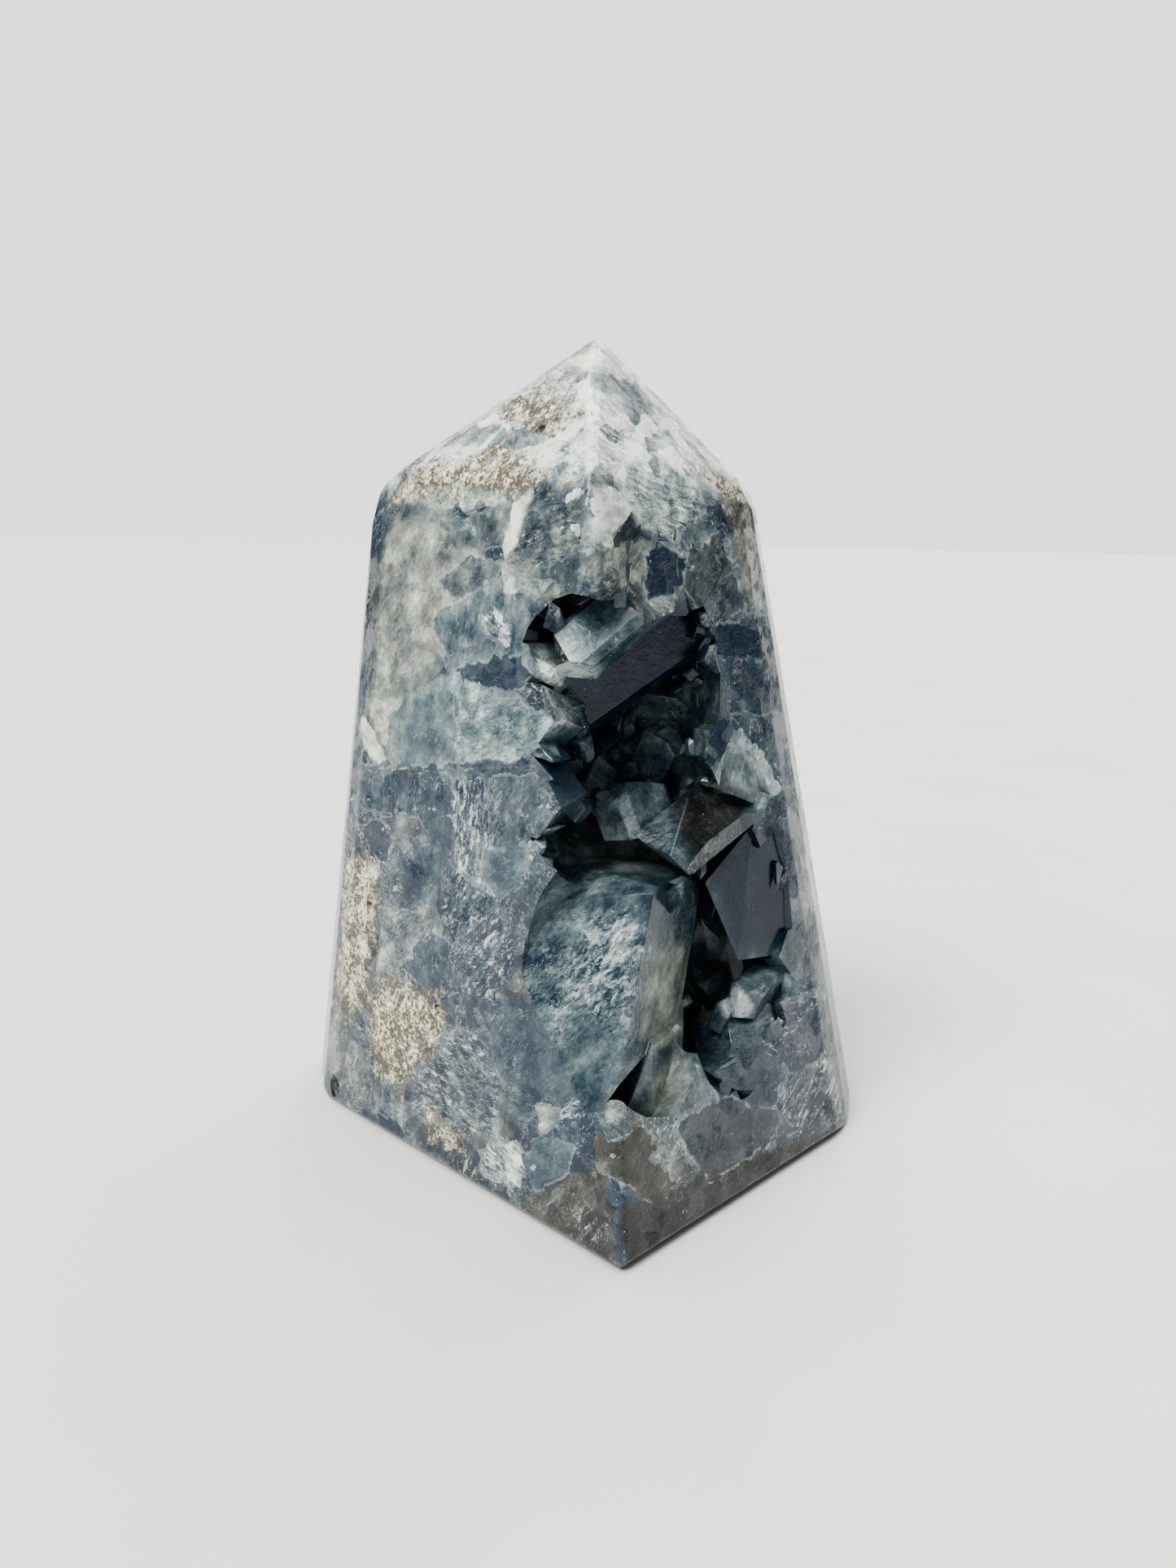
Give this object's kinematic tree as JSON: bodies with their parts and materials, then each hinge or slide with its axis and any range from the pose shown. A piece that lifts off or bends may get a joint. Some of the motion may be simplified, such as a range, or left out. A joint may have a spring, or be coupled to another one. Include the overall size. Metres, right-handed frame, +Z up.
{
  "type": "polished celestite crystal tower",
  "caption": "Tapering six-sided stone tower with a blunt point, a flat foot, and an open crystal-lined pocket across its front edge.",
  "frame": {"origin": "middle of the foot's outline, on the surface that the tower stands on", "axes": "+Z up to the point, -Y towards the front edge with the pocket, +X to the right seen from the front"},
  "size_m": [0.097, 0.0835, 0.126],
  "materials": {
    "polished_celestite": "polished stone, pale grey-blue, veined, with tan granular patches",
    "clear_celestite": "clear to smoky blue natural crystal faces"
  },
  "bodies": {
    "root": {"polished_tower": "polished_celestite", "pocket_crystals": "clear_celestite"}
  },
  "joints": []
}
